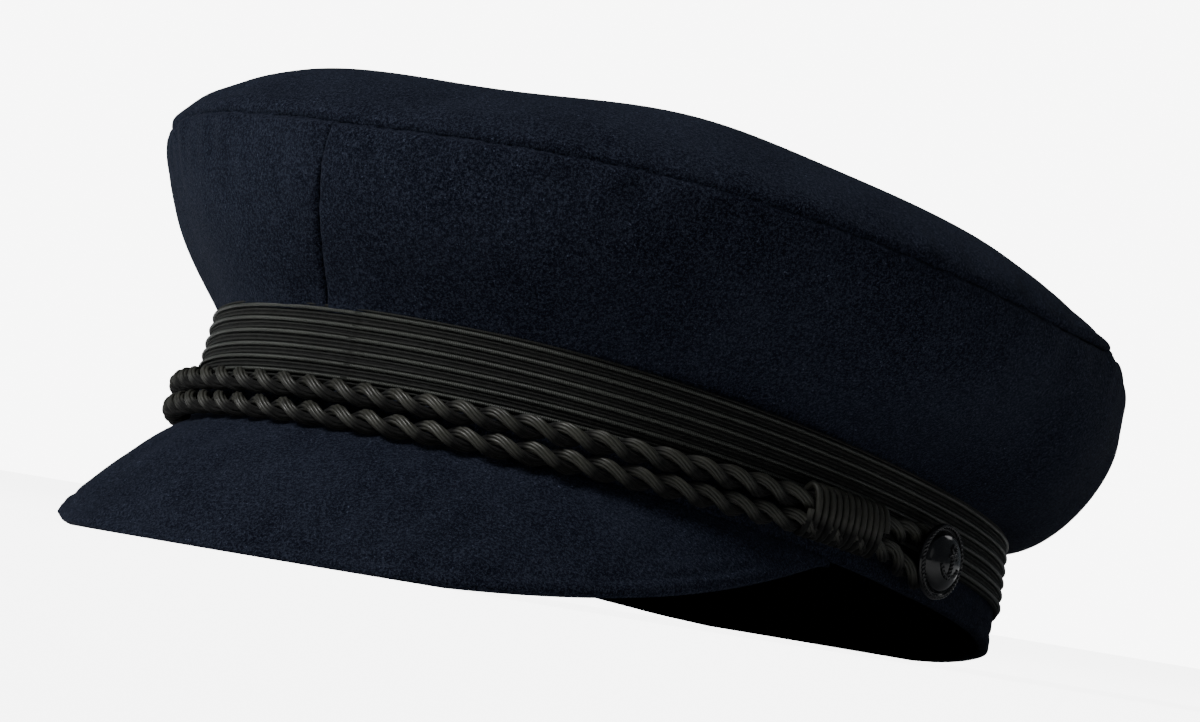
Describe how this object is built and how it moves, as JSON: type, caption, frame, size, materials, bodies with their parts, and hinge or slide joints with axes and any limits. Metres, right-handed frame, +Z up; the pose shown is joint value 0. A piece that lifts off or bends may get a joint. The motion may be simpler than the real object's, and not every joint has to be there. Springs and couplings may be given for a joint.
{
  "type": "sailor cap",
  "caption": "Soft navy wool peaked cap with a ribbed black band, a doubled twisted cord with wound knots, and domed side buttons.",
  "frame": {"origin": "middle of the footprint, on the surface that the cap stands on with its peak and the back of its band", "axes": "+Z up from the surface, -Y towards the peak, +X towards the wearer's left"},
  "size_m": [0.2095, 0.2492, 0.1042],
  "materials": {
    "wool": "napped melton wool",
    "ribbon": "ribbed satin ribbon",
    "cord": "twisted satin cord",
    "button": "glossy black"
  },
  "bodies": {
    "root": {"crown_top": "wool", "crown_side_left": "wool", "crown_side_right": "wool", "head_band": "wool", "ribbon": "ribbon", "peak": "wool", "cord": "cord", "knot_left": "cord", "knot_right": "cord", "button_left": "button", "button_right": "button"}
  },
  "joints": []
}
